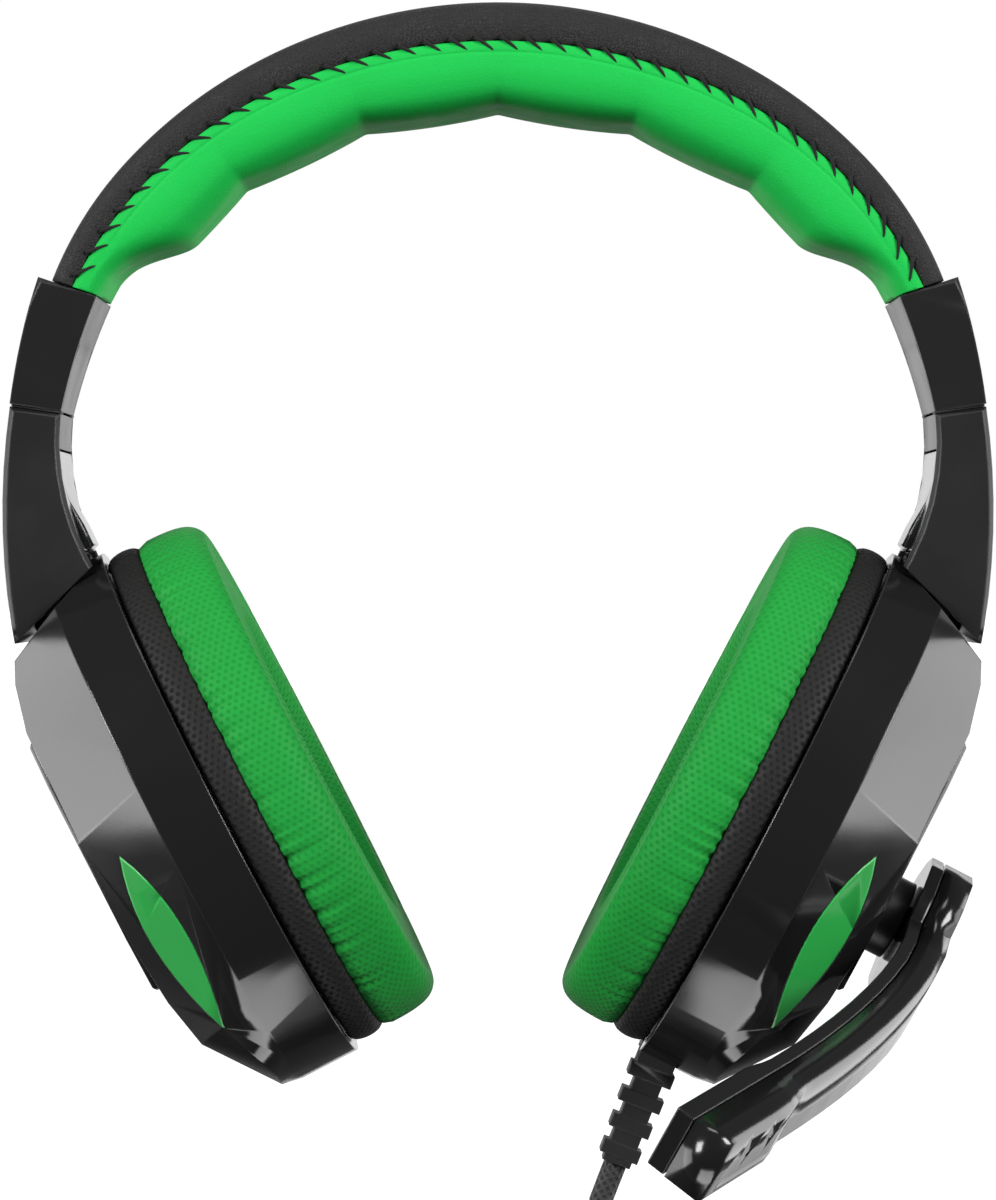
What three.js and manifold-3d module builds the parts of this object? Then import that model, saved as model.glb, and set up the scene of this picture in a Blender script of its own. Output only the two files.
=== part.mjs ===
// Over-ear gaming headset: padded headband, sliding arms, tilting ear cups, swing-down boom
// microphone and a braided lead wound into a coil. Millimetres, +Z up, the wearer looks along -Y.
// The origin is the underside of the headband pad, where the headset rests on a head or a stand.
import * as THREE from "three";
import { ConvexGeometry } from "three/addons/geometries/ConvexGeometry.js";
import { mergeVertices } from "three/addons/utils/BufferGeometryUtils.js";
import Module from "manifold-3d";

const wasm = await Module();
wasm.setup();

const GAP = 0.3; // clearance kept between touching pieces

// Headband. Each arch is a chain of tangent arcs, [radius, end angle in degrees from the top].
const BAND = { halfWidth: 19.5, apex: 19.5, arcs: [[97, 29.7], [90.7, 47.3], [69.8, 90]] };
const SEAM = { apex: 11.5, arcs: [[98.1, 27.5], [78, 90]] };
const PAD = { halfWidth: 18.7, thick: 11.2, puff: 1.6, pitch: 29, taperFrom: 74, taperTo: 92, endThick: 5 };
const SPRING = { halfWidth: 9, thick: 1.2, tailInner: 132.1, tailEnd: 13 };
const LEAD = { radius: 1, y: 13.5 };

// Slider: housing and arm share one arc, and the arm turns about its centre as it slides.
const SLIDE = { x: -44.5, z: -76, radius: 137.3 };
const HOUSING = { top: 18.5, bottom: 8.4, topHalfWidth: 20, bottomHalfWidth: 15.4, plate: 1.3 };
const LIP = 1.5; // the outer shells fold round the inner plates by this much
const ARM = { halfWidth: 15.4, wall: 2.2, top: 8.2, split: 5.15, plate: 1.3, end: -4.6 };
const ARM_EDGE = { x: 76.7, z: -87.1, tilt: 45 }; // lower edge of the arm, cut on the slant
const CHANNEL = { inner: 128.2, outer: 134.9, halfWidth: 11.6 };
const STRIP = { inner: 129.4, outer: 130.4, halfWidth: 9, top: 21.4, bottom: 1, notches: 8, pitch: 2.5 };
const TILT = { x: 82.4, z: -85.5, pin: 1.7, lug: 3.5, open: 6, close: 2 };

// Ear cup, in its own frame: x outward from the rim, z up along the cup, y across it.
const CUP = { x: 50.8, z: -131, lean: 27.2, halfHeight: 53, halfWidth: 42, wall: 11.5, shell: 2.4 };
const COVER = { top: 28.2, floor: 25.6 };
const INSERT = { length: 37, width: 12.7, depth: 4 };
const BAFFLE = { near: 0.6, far: 2.8 };
const DRIVER = { radius: 20, hole: 20.4 };
const CUSHION = { halfHeight: 51.5, halfWidth: 41, holeHeight: 29, holeWidth: 20 };
const BUN = { seam: -7.5, face: -20.4, round: 9 };

// Microphone boom, on the cover of the right cup.
const MIC = { z: -8.7, stub: 7.8, axle: 3.4, inner: 33.2, seam: 36, outer: 41.8, hub: 13.8 };
const BOOM = { droop: 25.3, bend: 29.9, power: 1.44, bendFrom: 19.6, length: 114.7, wide: 7.6, narrow: 6.3 };
const CAPSULE = { from: 84, to: 92, raised: 1.8, lowered: 1, port: 106, slit: 96 };

// Lead: notched strain relief, braided cord, a tied coil and its plug.
const CORD = { radius: 2.25 };
const RELIEF = { x: 4, z: -53.4, turn: -5.7, pitch: 5.2, blocks: 4 };
const COIL = { x: 19.5, z: -249, inner: 20, outer: 34, halfWidth: 9.2, tieAt: 48 };
const LAY = { outerTurn: 31.5, bend: 12, tailFrom: 66, tailTo: 12, tailFront: 14.4 };
const PLUG = { x: 51, y: -14.4, z: -244.6, radius: 4.2, body: 20 };

const COLOURS = {
  black: ["#2b2b2b", 0.35, 0],
  gloss: ["#202020", 0.12, 0],
  green: ["#2aa546", 0.15, 0],
  leather: ["#2d2c2c", 0.55, 0],
  greenLeather: ["#27c85a", 0.5, 0],
  fabric: ["#2d2b2b", 0.9, 0],
  greenFabric: ["#26b44b", 0.9, 0],
  steel: ["#a0a4a8", 0.3, 1],
  metal: ["#c8c0a8", 0.25, 1],
  rubber: ["#262626", 0.7, 0],
};

const rad = THREE.MathUtils.degToRad;
const root = new THREE.Group();

// ---- solids ----

function solid(geometry) {
  const bare = new THREE.BufferGeometry();
  bare.setAttribute("position", geometry.getAttribute("position"));
  if (geometry.index) bare.setIndex(geometry.index);
  const merged = mergeVertices(bare, 1e-4);
  const build = (triVerts) =>
    new wasm.Manifold(
      new wasm.Mesh({ numProp: 3, vertProperties: merged.attributes.position.array, triVerts }),
    );
  const made = build(new Uint32Array(merged.index.array));
  if (made.volume() > 0) return made;
  return build(new Uint32Array(merged.index.array).reverse());
}

function geometryOf(body) {
  const mesh = body.getMesh();
  const geometry = new THREE.BufferGeometry();
  geometry.setAttribute("position", new THREE.BufferAttribute(mesh.vertProperties, 3));
  geometry.setIndex(new THREE.BufferAttribute(mesh.triVerts, 1));
  geometry.computeVertexNormals();
  return geometry;
}

function add(group, name, body, colour) {
  const [color, roughness, metalness] = COLOURS[colour];
  const material = new THREE.MeshStandardMaterial({ color, roughness, metalness, flatShading: true });
  const mesh = new THREE.Mesh(geometryOf(body), material);
  mesh.name = name;
  group.add(mesh);
}

// A shape drawn in X and Z, pushed out along Y from near to far.
function extrudeY(shape, near, far, bevel = 0, curveSegments = 24) {
  const options = { depth: far - near - 2 * bevel, bevelEnabled: bevel > 0, bevelSegments: 1, curveSegments };
  const geometry = new THREE.ExtrudeGeometry(shape, {
    ...options,
    bevelThickness: bevel,
    bevelSize: bevel,
    bevelOffset: -bevel,
  });
  return solid(geometry.rotateX(Math.PI / 2).translate(0, far - bevel, 0));
}

// A shape drawn with its x across the cup and its y up the cup, pushed out along the cup's x.
function extrudeOut(shape, near, far, bevel = 0, curveSegments = 24) {
  const geometry = new THREE.ExtrudeGeometry(shape, {
    depth: far - near - 2 * bevel,
    bevelEnabled: bevel > 0,
    bevelSegments: bevel > 3 ? 3 : 1,
    bevelThickness: bevel,
    bevelSize: bevel,
    bevelOffset: -bevel,
    curveSegments,
  });
  const turn = new THREE.Matrix4().set(0, 0, 1, 0, 1, 0, 0, 0, 0, 1, 0, 0, 0, 0, 0, 1);
  return solid(geometry.translate(0, 0, near + bevel).applyMatrix4(turn));
}

function cylinderY(radius, near, far, x, z, sides = 16) {
  const geometry = new THREE.CylinderGeometry(radius, radius, far - near, sides);
  return solid(geometry.translate(x, (near + far) / 2, z));
}

function box(dx, dy, dz, x, y, z) {
  return solid(new THREE.BoxGeometry(dx, dy, dz).translate(x, y, z));
}

// A skin over rings of equally many points, closed by a fan at each end.
function loft(rings) {
  const count = rings[0].length;
  const position = rings.flat().flatMap((point) => point.toArray());
  const index = [];
  for (let i = 0; i + 1 < rings.length; i++)
    for (let j = 0; j < count; j++) {
      const a = i * count + j;
      const b = i * count + ((j + 1) % count);
      index.push(a, b, b + count, a, b + count, a + count);
    }
  const last = (rings.length - 1) * count;
  for (let j = 1; j + 1 < count; j++) {
    index.push(0, j + 1, j);
    index.push(last, last + j, last + j + 1);
  }
  const geometry = new THREE.BufferGeometry();
  geometry.setAttribute("position", new THREE.BufferAttribute(new Float32Array(position), 3));
  geometry.setIndex(index);
  return solid(geometry);
}

// ---- headband ----

// The point and outward normal of an arch at a distance along it from the top.
function archPoint(arch, distance, lift = 0) {
  let angle = 0;
  let left = distance;
  const centre = new THREE.Vector2(0, arch.apex - arch.arcs[0][0]);
  for (const [i, [radius, endDegrees]] of arch.arcs.entries()) {
    const room = (rad(endDegrees) - angle) * radius;
    const last = i === arch.arcs.length - 1;
    const end = left <= room || last ? angle + left / radius : rad(endDegrees);
    const normal = new THREE.Vector2(Math.sin(end), Math.cos(end));
    if (left <= room || last) return centre.addScaledVector(normal, radius + lift);
    centre.addScaledVector(normal, radius - arch.arcs[i + 1][0]);
    left -= room;
    angle = end;
  }
}

// One curve across the whole band, left end to right end, from a function of distance.
function acrossBand(point, reach, steps) {
  const half = Array.from({ length: steps + 1 }, (_, i) => point((reach * i) / steps));
  const left = half.slice(1).reverse();
  return [...left.map((p) => new THREE.Vector2(-p.x, p.y)), ...half];
}

function bandShape(upper, lower) {
  return new THREE.Shape([...upper, ...lower.reverse()]);
}

// Half way between the outer arch and the seam, where the steel spring runs.
function midPoint(distance, lift = 0) {
  const outer = archPoint(BAND, distance, lift);
  const across = distance * (0.975 - 1.8e-5 * distance * distance);
  return outer.lerp(archPoint(SEAM, across, lift), 0.5);
}

function padPoint(distance) {
  const { thick, puff, pitch, taperFrom, taperTo, endThick } = PAD;
  const wave = puff * Math.pow(Math.abs(Math.sin((Math.PI * distance) / pitch)), 0.7);
  const taper = THREE.MathUtils.smoothstep(distance, taperFrom, taperTo);
  const depth = THREE.MathUtils.lerp(thick + wave, endThick, taper);
  return archPoint(SEAM, distance, -GAP - depth);
}

const BAND_REACH = 124; // each arch runs on past the housing, which then trims it
const SEAM_REACH = 104;
const SPRING_REACH = 116;

// A slab under the top face of the slider housing, on the right.
function housingTopCutter() {
  const slab = new THREE.BoxGeometry(60, 90, 60).translate(SLIDE.radius - 12, 0, -30 + GAP);
  return solid(slab.rotateY(-rad(HOUSING.top)).translate(SLIDE.x, 0, SLIDE.z));
}

function mirrored(body) {
  return solid(geometryOf(body).clone().applyMatrix4(new THREE.Matrix4().makeScale(-1, 1, 1)));
}

function cutBothSides(body, cutter) {
  return body.subtract(cutter).subtract(mirrored(cutter));
}

function midStrip(halfThick, halfWidth, reach) {
  const upper = acrossBand((d) => midPoint(d, halfThick), reach, 26);
  const lower = acrossBand((d) => midPoint(d, -halfThick), reach, 26);
  return extrudeY(bandShape(upper, lower), -halfWidth, halfWidth);
}

function bandTube(radius, reach) {
  const points = acrossBand((d) => midPoint(d), reach, 16);
  const path = new THREE.CatmullRomCurve3(points.map((p) => new THREE.Vector3(p.x, LEAD.y, p.y)));
  const ring = new THREE.Shape().absarc(0, 0, radius, 0, 2 * Math.PI);
  return solid(new THREE.ExtrudeGeometry(ring, { extrudePath: path, steps: 30, curveSegments: 3 }));
}

function buildHeadband() {
  const cutter = housingTopCutter();
  const slot = { inner: STRIP.inner - GAP, outer: STRIP.outer + GAP, halfWidth: STRIP.halfWidth + GAP };
  const stripPocket = polarBar(slot.inner, slot.outer, slot.halfWidth, 10, STRIP.top + 1);
  const tailAt = SPRING.tailInner;
  const tailPocket = polarBar(tailAt - GAP, tailAt + SPRING.thick + GAP, SPRING.halfWidth + GAP, 12, 20);
  const cover = bandShape(
    acrossBand((d) => archPoint(BAND, d), BAND_REACH, 30),
    acrossBand((d) => archPoint(SEAM, d), SEAM_REACH, 30),
  );
  let skin = extrudeY(cover, -BAND.halfWidth, BAND.halfWidth);
  skin = cutBothSides(cutBothSides(cutBothSides(skin, cutter), stripPocket), tailPocket);
  skin = skin.subtract(midStrip(SPRING.thick / 2 + GAP, SPRING.halfWidth + GAP, BAND_REACH));
  add(root, "headband_cover", skin.subtract(bandTube(LEAD.radius + GAP, BAND_REACH)), "leather");
  const pad = bandShape(
    acrossBand((d) => archPoint(SEAM, d, -GAP), SEAM_REACH, 30),
    acrossBand(padPoint, SEAM_REACH, 44),
  );
  const padBody = extrudeY(pad, -PAD.halfWidth, PAD.halfWidth);
  add(root, "headband_pad", cutBothSides(cutBothSides(padBody, cutter), stripPocket), "greenLeather");
  const tail = polarBar(tailAt, tailAt + SPRING.thick, SPRING.halfWidth, SPRING.tailEnd, 19.6);
  const spring = midStrip(SPRING.thick / 2, SPRING.halfWidth, SPRING_REACH).add(tail).add(mirrored(tail));
  add(root, "headband_spring", spring, "steel");
  add(root, "headband_lead", bandTube(LEAD.radius, SPRING_REACH - 4), "rubber");
}

// ---- slider housings and arms, drawn for the right side ----

function polar(radius, degrees) {
  const angle = rad(degrees);
  return new THREE.Vector2(SLIDE.x + radius * Math.cos(angle), SLIDE.z + radius * Math.sin(angle));
}

// A curved bar between two radii and two angles of the slider's arc.
function polarShape(inner, outer, from, to, steps = 8) {
  const at = (radius, i) => polar(radius, from + ((to - from) * i) / steps);
  const rim = Array.from({ length: steps + 1 }, (_, i) => at(outer, i));
  const bore = Array.from({ length: steps + 1 }, (_, i) => at(inner, steps - i));
  return new THREE.Shape([...rim, ...bore]);
}

function polarBar(inner, outer, halfWidth, from, to, bevel = 0) {
  return extrudeY(polarShape(inner, outer, from, to), -halfWidth, halfWidth, bevel);
}

// Inner face of the housing and the arm, as a radius that changes along the arc.
function innerRadius(degrees) {
  const upper = THREE.MathUtils.lerp(127.7, 125.9, (degrees - 8.4) / 10.1);
  const below = 8.4 - degrees;
  return degrees > 8.4 ? upper : 127.7 - 0.06 * below - 0.034 * below * below;
}

function armProfile(lift, from, to, outer) {
  const steps = 8;
  const at = (i) => from + ((to - from) * i) / steps;
  const rim = Array.from({ length: steps + 1 }, (_, i) => polar(outer, at(i)));
  const face = Array.from({ length: steps + 1 }, (_, i) => {
    const degrees = at(steps - i);
    return polar(innerRadius(degrees) + lift, degrees);
  });
  return new THREE.Shape([...rim, ...face]);
}

function innerPlate(near, far, from, to, halfWidth) {
  const steps = 6;
  const at = (i) => from + ((to - from) * i) / steps;
  const back = Array.from({ length: steps + 1 }, (_, i) => polar(innerRadius(at(i)) + far, at(i)));
  const face = Array.from({ length: steps + 1 }, (_, i) => {
    const degrees = at(steps - i);
    return polar(innerRadius(degrees) + near, degrees);
  });
  return extrudeY(new THREE.Shape([...back, ...face]), -halfWidth, halfWidth);
}

// Two slabs that taper the housing's front and back faces towards its lower end.
function taperCutters(grow) {
  const low = polar(132, HOUSING.bottom);
  const high = polar(132, HOUSING.top);
  const rise = high.distanceTo(low);
  const angle = Math.atan2(HOUSING.topHalfWidth - HOUSING.bottomHalfWidth, rise);
  return [1, -1].map((sign) => {
    const slab = new THREE.BoxGeometry(60, 20, 90).translate(0, sign * (10 + grow), 0);
    slab.rotateX(-sign * angle).translate(0, sign * HOUSING.bottomHalfWidth, 0);
    return solid(slab.rotateY(rad(13.5)).translate(low.x, 0, low.y));
  });
}

function tapered(body, grow = 0) {
  return taperCutters(grow).reduce((result, cutter) => result.subtract(cutter), body);
}

function buildHousing(group, side) {
  const { top, bottom, plate } = HOUSING;
  const full = extrudeY(armProfile(0, bottom, top, SLIDE.radius), -20, 20, 1);
  const pocket = tapered(innerPlate(-2, plate + GAP, bottom - 1, top + 1, 20), GAP - LIP);
  const channel = polarBar(CHANNEL.inner - 2, CHANNEL.outer, CHANNEL.halfWidth, bottom - 1, top + 1);
  add(group, "housing_outer_" + side, tapered(full).subtract(channel).subtract(pocket), "black");
  let inner = tapered(innerPlate(0, plate, bottom, top, 20), -LIP);
  for (const sign of [1, -1]) {
    const at = polar(127, 13.6);
    const slit = new THREE.BoxGeometry(8, 0.7, 2.8).rotateY(-rad(13.6)).translate(at.x, sign * 15.2, at.y);
    inner = inner.subtract(solid(slit));
  }
  add(group, "housing_inner_" + side, inner, "black");
}

function buildStrip(group, side) {
  const { inner, outer, halfWidth, top, bottom, notches, pitch } = STRIP;
  let strip = polarBar(inner, outer, halfWidth, bottom, top);
  const step = THREE.MathUtils.radToDeg(pitch / inner);
  for (let i = 0; i < notches; i++) {
    const at = polar((inner + outer) / 2, 9.6 + i * step);
    const notch = new THREE.BoxGeometry(4, 1.6, 1.2).rotateY(-rad(9.6 + i * step));
    strip = strip.subtract(solid(notch.translate(at.x, halfWidth, at.y)));
  }
  add(group, "slider_strip_" + side, strip, "steel");
  const nib = polarBar(inner, outer, 0.9, 9.2, 12.4);
  const moved = solid(geometryOf(nib).translate(0, halfWidth + GAP + 0.9, 0));
  add(group, "detent_spring_" + side, moved, "steel");
}

function armEdgeCutter(drop) {
  const slab = new THREE.BoxGeometry(120, 80, 60).translate(0, 0, -30 - drop);
  return solid(slab.rotateY(rad(ARM_EDGE.tilt)).translate(ARM_EDGE.x, 0, ARM_EDGE.z));
}

function buildArm(group, side) {
  const { halfWidth, wall, top, split, plate, end } = ARM;
  const below = armEdgeCutter(0);
  const body = extrudeY(armProfile(0, -11.5, top, SLIDE.radius), -halfWidth, halfWidth, 0.8);
  const plateWidth = halfWidth - LIP;
  const pocket = innerPlate(-2, plate + GAP, -12, top + 1, plateWidth + GAP);
  const hollow = polarBar(110, SLIDE.radius - wall, halfWidth - wall, -20, top - 1.2);
  const slot = polarBar(STRIP.inner - GAP, STRIP.outer + GAP, STRIP.halfWidth + GAP, 0, top + 1);
  const pinReach = halfWidth - 1.1;
  const pinHole = cylinderY(TILT.pin + GAP, -pinReach - GAP, pinReach + GAP, TILT.x, TILT.z);
  const outer = body.subtract(pocket).subtract(hollow).subtract(slot).subtract(below).subtract(pinHole);
  add(group, "arm_outer_" + side, outer, "black");
  const upper = innerPlate(0, plate, split + 0.1, top, plateWidth);
  add(group, "arm_inner_upper_" + side, upper, "black");
  const above = armEdgeCutter(-3.2);
  const lower = innerPlate(0, plate, -10, split - 0.1, plateWidth).subtract(above);
  const tongue = extrudeY(new THREE.Shape([
    polar(innerRadius(1.6) + 0.5, 1.6),
    polar(innerRadius(end) + 0.5, end),
    polar(innerRadius(end) - 1.6, end),
    polar(innerRadius(-1.2) - 1.4, -1.2),
  ]), -7, 7, 0.5);
  add(group, "arm_inner_lower_" + side, lower.add(tongue.subtract(above)), "gloss");
  const pin = cylinderY(TILT.pin, -pinReach, pinReach, TILT.x, TILT.z, 12);
  add(group, "tilt_pin_" + side, pin, "steel");
}

// ---- ear cups, in the cup's own frame ----

const at = (x, y, z) => new THREE.Vector3(x, y, z);

function ovalRing(x, halfHeight, halfWidth, count = 64) {
  return Array.from({ length: count }, (_, i) => {
    const angle = (2 * Math.PI * i) / count;
    return at(x, halfWidth * Math.cos(angle), halfHeight * Math.sin(angle));
  });
}

function bothSides(points) {
  return points.flatMap(([x, y, z]) => [at(x, y, z), at(x, -y, z)]);
}

function hull(points) {
  return solid(new ConvexGeometry(points));
}

// The outer face narrows towards the arm and falls away in a bevel at the foot.
function faceEdge(inset) {
  const points = [[21.5, 11.5, 46], [25, 14.5, 38], [27, 17, 29], [27.3, 20.5, 6.5], [27.4, 19.5, -16]];
  const foot = [[26.6, 16.5, -28], [25, 11.5, -38], [15.5, 5, -52]];
  return [...points, ...foot].map(([x, y, z]) => [x - inset, Math.max(y - inset, 1), z * (1 - inset / 50)]);
}

function cupOutside() {
  const { halfHeight, halfWidth, wall } = CUP;
  const rim = [...ovalRing(0, halfHeight, halfWidth), ...ovalRing(wall, halfHeight, halfWidth)];
  const upper = hull([...rim, ...bothSides(faceEdge(0))]);
  const ledge = [[27.6, 21, 6.4]];
  const ridge = [[21, 29.4, 0.5], [18.5, 29.4, -36], [15, 11.5, -50]];
  const foot = ovalRing(wall, halfHeight, halfWidth).filter((p) => p.z < 11);
  const base = ovalRing(1, halfHeight, halfWidth).filter((p) => p.z < 11);
  const edge = faceEdge(0).filter(([, , z]) => z < 0);
  const lower = hull([...foot, ...base, ...bothSides([...ledge, ...ridge, ...edge])]);
  return upper.add(lower);
}

function cupHollow() {
  const { halfHeight, halfWidth, wall, shell } = CUP;
  const mouth = ovalRing(-1, halfHeight - shell, halfWidth - shell);
  const deep = ovalRing(wall - 1.2, halfHeight - shell, halfWidth - shell);
  return hull([...mouth, ...deep, ...bothSides(faceEdge(shell + 0.4))]);
}

// The tilt pin's place in the cup's frame.
function pinPlace() {
  const dx = TILT.x - CUP.x;
  const dz = TILT.z - CUP.z;
  const lean = rad(CUP.lean);
  return [dx * Math.cos(lean) - dz * Math.sin(lean), dx * Math.sin(lean) + dz * Math.cos(lean)];
}

// The lug rises from the top of the cup into the arm and carries the tilt pin.
function cupLug() {
  const [x, z] = pinPlace();
  const shape = new THREE.Shape();
  shape.absarc(x, z, TILT.lug, 0, Math.PI);
  shape.lineTo(x - TILT.lug, 44);
  shape.lineTo(x + TILT.lug + 5, 44);
  return extrudeY(shape, -12.7, 12.7, 0, 12);
}

function pinBore() {
  const [x, z] = pinPlace();
  return cylinderY(TILT.pin + GAP, -20, 20, x, z, 12);
}

// Room beside the lug for the end of the arm, at both ends of the tilt.
function armRoom() {
  const [x, z] = pinPlace();
  const turned = (degrees) => {
    const slab = new THREE.BoxGeometry(60, 80, 40).translate(0, 0, 20 - 5.3);
    slab.rotateY(rad(ARM_EDGE.tilt - CUP.lean + degrees)).translate(x, 0, z);
    return solid(slab);
  };
  const zone = turned(TILT.open).add(turned(-TILT.close));
  const sides = box(90, 40, 60, 0, 12.7 + 20, 50).add(box(90, 40, 60, 0, -12.7 - 20, 50));
  const behind = box(40, 30, 40, x + TILT.lug + 3.2 + 20, 0, 58);
  return zone.intersect(sides).add(zone.intersect(behind));
}

function eyeShape(length, width) {
  const half = length / 2;
  const shape = new THREE.Shape();
  shape.moveTo(0, half);
  shape.quadraticCurveTo(width * 0.95, half * 0.15, 0, -half);
  shape.quadraticCurveTo(-width * 0.95, half * 0.15, 0, half);
  return shape;
}

// The inlay's prism stands square to the ridge between the cup's two lower facets.
function inlayPrism(grow, sign) {
  const shape = eyeShape(INSERT.length + 2 * grow, INSERT.width + 2 * grow);
  const settings = { depth: INSERT.depth + 8, bevelEnabled: false, curveSegments: 10 };
  const prism = new THREE.ExtrudeGeometry(shape, settings);
  prism.translate(0, 0, -INSERT.depth);
  const along = at(2.5, 0, 36.5).normalize();
  const out = at(0.77, 0.63 * sign, 0);
  out.addScaledVector(along, -out.dot(along)).normalize();
  const across = new THREE.Vector3().crossVectors(along, out);
  const place = new THREE.Matrix4().makeBasis(across, along, out);
  place.setPosition(19.7, 29.4 * sign, -17.8);
  return solid(prism.applyMatrix4(place));
}

function coverShape(grow) {
  const edge = [[27, 13], [18, 16.5], [-14, 17.2], [-25, 14.5]];
  const points = edge.map(([z, y]) => new THREE.Vector2(y + grow, z + Math.sign(z) * grow));
  const other = points.map((p) => new THREE.Vector2(-p.x, p.y)).reverse();
  return new THREE.Shape([...points, ...other]);
}

function micHole(radius, near, far) {
  const geometry = new THREE.CylinderGeometry(radius, radius, far - near, 24);
  return solid(geometry.rotateZ(Math.PI / 2).translate((near + far) / 2, 0, MIC.z));
}

function ovalShape(halfHeight, halfWidth) {
  return new THREE.Shape().absellipse(0, 0, halfWidth, halfHeight, 0, 2 * Math.PI);
}

function ovalRingShape(grow) {
  const { halfHeight, halfWidth, holeHeight, holeWidth } = CUSHION;
  const shape = ovalShape(halfHeight + grow, halfWidth + grow);
  shape.holes.push(new THREE.Path().absellipse(0, 0, holeWidth - grow, holeHeight - grow, 0, 2 * Math.PI));
  return shape;
}

function buildCupShell(group, side, outside) {
  let shell = outside.subtract(cupHollow()).add(cupLug().subtract(cupHollow()));
  shell = shell.subtract(armRoom()).subtract(pinBore());
  shell = shell.subtract(extrudeOut(coverShape(GAP), COVER.floor - GAP, 40));
  for (const sign of [1, -1]) shell = shell.subtract(inlayPrism(GAP, sign));
  if (side === "right") {
    shell = shell.subtract(micHole(MIC.axle + GAP, 20, 40));
    shell = shell.subtract(box(9, 10, 8, RELIEF.x, 0, RELIEF.z + 1.5));
  }
  add(group, "cup_shell_" + side, shell, "gloss");
}

function buildCupParts(group, side, outside) {
  let cover = extrudeOut(coverShape(0), COVER.floor, COVER.top, 0.7);
  if (side === "right") cover = cover.subtract(micHole(MIC.axle + GAP, 20, 40));
  add(group, "cup_cover_" + side, cover, "gloss");
  for (const [place, sign] of [["rear", 1], ["front", -1]]) {
    add(group, "cup_insert_" + place + "_" + side, inlayPrism(0, sign).intersect(outside), "green");
  }
  const rim = CUP.shell + GAP;
  const plate = ovalShape(CUP.halfHeight - rim - 1.2, CUP.halfWidth - rim);
  plate.holes.push(new THREE.Path().absarc(0, 0, DRIVER.hole, 0, 2 * Math.PI));
  add(group, "speaker_plate_" + side, extrudeOut(plate, BAFFLE.near, BAFFLE.far, 0, 14), "black");
  const profile = [[0, 0.8], [DRIVER.radius, 0.8], [DRIVER.radius, 5], [12, 7.5], [12, 13], [0, 13]];
  const driver = new THREE.LatheGeometry(profile.map(([r, x]) => new THREE.Vector2(r, x)), 28);
  add(group, "speaker_driver_" + side, solid(driver.rotateZ(-Math.PI / 2)), "black");
  const band = extrudeOut(ovalRingShape(-0.7), BUN.seam, -GAP, 0, 14);
  add(group, "cushion_band_" + side, band, "fabric");
  // The cushion is rounded on the ear side only, so its other rounded half is cut away.
  const { face, seam, round } = BUN;
  const bun = extrudeOut(ovalRingShape(0.3), face, seam + round, round, 14);
  const cushion = bun.subtract(box(40, 120, 140, seam - GAP + 20, 0, 0));
  add(group, "cushion_" + side, cushion, "greenFabric");
  const scrim = extrudeOut(ovalShape(CUSHION.holeHeight - 0.6, CUSHION.holeWidth - 0.6), -1.4, -0.6, 0, 12);
  add(group, "ear_scrim_" + side, scrim, "fabric");
}

// ---- microphone ----

function buildMicPivot(group) {
  const { stub, axle, inner } = MIC;
  const profile = [[0, 22.3], [5.5, 22.3], [5.5, 24.2], [axle, 24.2], [axle, 28.5], [stub, 28.5]];
  profile.push([stub, inner - GAP], [axle, inner - GAP], [axle, 39], [0, 39]);
  const geometry = new THREE.LatheGeometry(profile.map(([r, x]) => new THREE.Vector2(r, x)), 24);
  add(group, "mic_pivot", solid(geometry.rotateZ(-Math.PI / 2).translate(0, 0, MIC.z)), "black");
}

// Where the boom is, by distance from the pivot: straight down, a bend towards the mouth, and a
// straight capsule.
function boomCentre(distance) {
  const { droop, bend, power, bendFrom, length } = BOOM;
  const bent = Math.min(Math.max(distance, bendFrom), CAPSULE.from);
  const share = (bent - bendFrom) / (length - bendFrom);
  const slope = (bend * power * Math.pow(share, power - 1)) / (length - bendFrom);
  const inward = bend * Math.pow(share, power) + slope * Math.max(distance - bent, 0);
  const down = MIC.z - distance * Math.sin(rad(droop));
  return at(MIC.seam - inward, -distance * Math.cos(rad(droop)), down);
}

function boomHalfWidth(distance) {
  const { wide, narrow } = BOOM;
  if (distance < 11.5) return Math.sqrt(Math.max(MIC.hub ** 2 - distance ** 2, 9));
  return THREE.MathUtils.lerp(wide, narrow, Math.min((distance - 11.5) / 60, 1));
}

// A bar along the boom. Its section at a distance is [left, right, low, high] from the boom's centre.
function boomBar(stations, section) {
  const across = at(0, -Math.sin(rad(BOOM.droop)), Math.cos(rad(BOOM.droop)));
  return loft(stations.map((distance) => {
    const forward = boomCentre(distance + 1).sub(boomCentre(distance - 1)).normalize();
    const up = new THREE.Vector3().crossVectors(across, forward).normalize();
    if (up.x < 0) up.negate();
    const [left, right, low, high] = section(distance);
    const corner = (aside, height) => {
      return boomCentre(distance).addScaledVector(across, aside).addScaledVector(up, height);
    };
    return [corner(left, low), corner(right, low), corner(right, high), corner(left, high)];
  }));
}

const BOOM_STATIONS = [-13.5, -12.5, -10.5, -7, 0, 7, 9.5, 11.5, 19, 27, 35, 43, 51, 59, 67, 75, 81];
const CAPSULE_STATIONS = [84, 86.5, 89, 92, 98, 106, 112, BOOM.length];

// One shell of the boom, between two heights above its seam, thicker at the capsule by two amounts.
function boomShell(low, high, lowered, raised) {
  return boomBar([...BOOM_STATIONS, ...CAPSULE_STATIONS], (distance) => {
    const swell = THREE.MathUtils.smoothstep(distance, CAPSULE.from, CAPSULE.to);
    const width = boomHalfWidth(distance);
    return [-width, width, low - lowered * swell, high + raised * swell];
  });
}

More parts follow.
